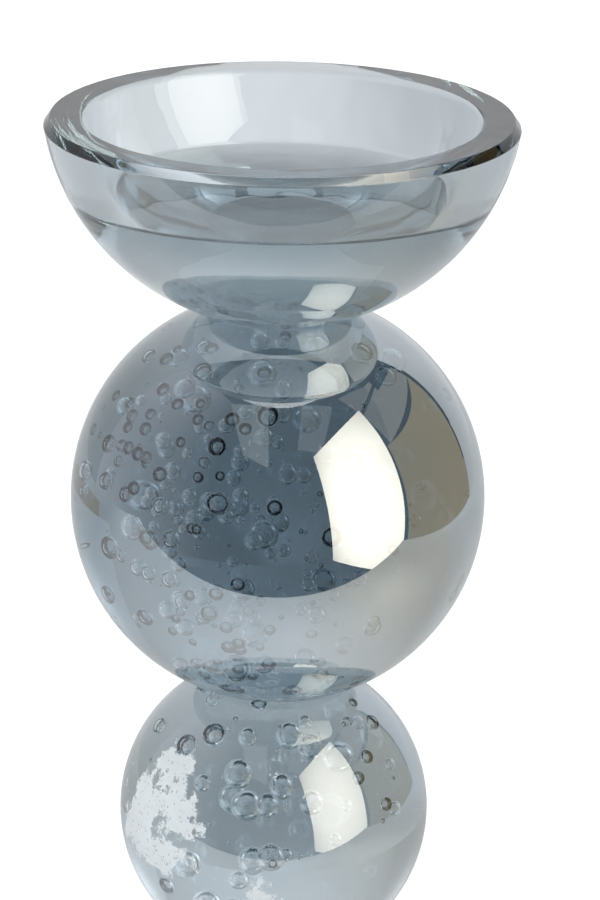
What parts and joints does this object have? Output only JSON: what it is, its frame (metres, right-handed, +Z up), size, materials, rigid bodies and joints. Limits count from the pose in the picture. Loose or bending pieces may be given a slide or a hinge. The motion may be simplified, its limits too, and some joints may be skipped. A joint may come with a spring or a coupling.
{
  "type": "glass candlestick",
  "caption": "Candlestick of glass balls with trapped bubbles under a deep glass cup that holds a pillar candle, on a domed foot.",
  "frame": {"origin": "centre of the base, on the surface that the bumper pads rest on", "axes": "+Z up along the common axis of the cup, balls and foot; +X and +Y are horizontal, and the pads lie between them at 45 degrees"},
  "size_m": [0.1138, 0.1138, 0.2482],
  "materials": {
    "cup_glass": "polished",
    "bubble_glass": "polished",
    "foot_glass": "polished",
    "clear_adhesive": "clear cured adhesive",
    "bumper_rubber": "clear soft polyurethane"
  },
  "bodies": {
    "root": {"cup": "cup_glass", "adhesive_upper": "clear_adhesive", "ball_large": "bubble_glass", "adhesive_middle": "clear_adhesive", "ball_small": "bubble_glass", "adhesive_lower": "clear_adhesive", "foot": "foot_glass", "bumper_pad_1": "bumper_rubber", "bumper_pad_2": "bumper_rubber", "bumper_pad_3": "bumper_rubber", "bumper_pad_4": "bumper_rubber"}
  },
  "joints": []
}
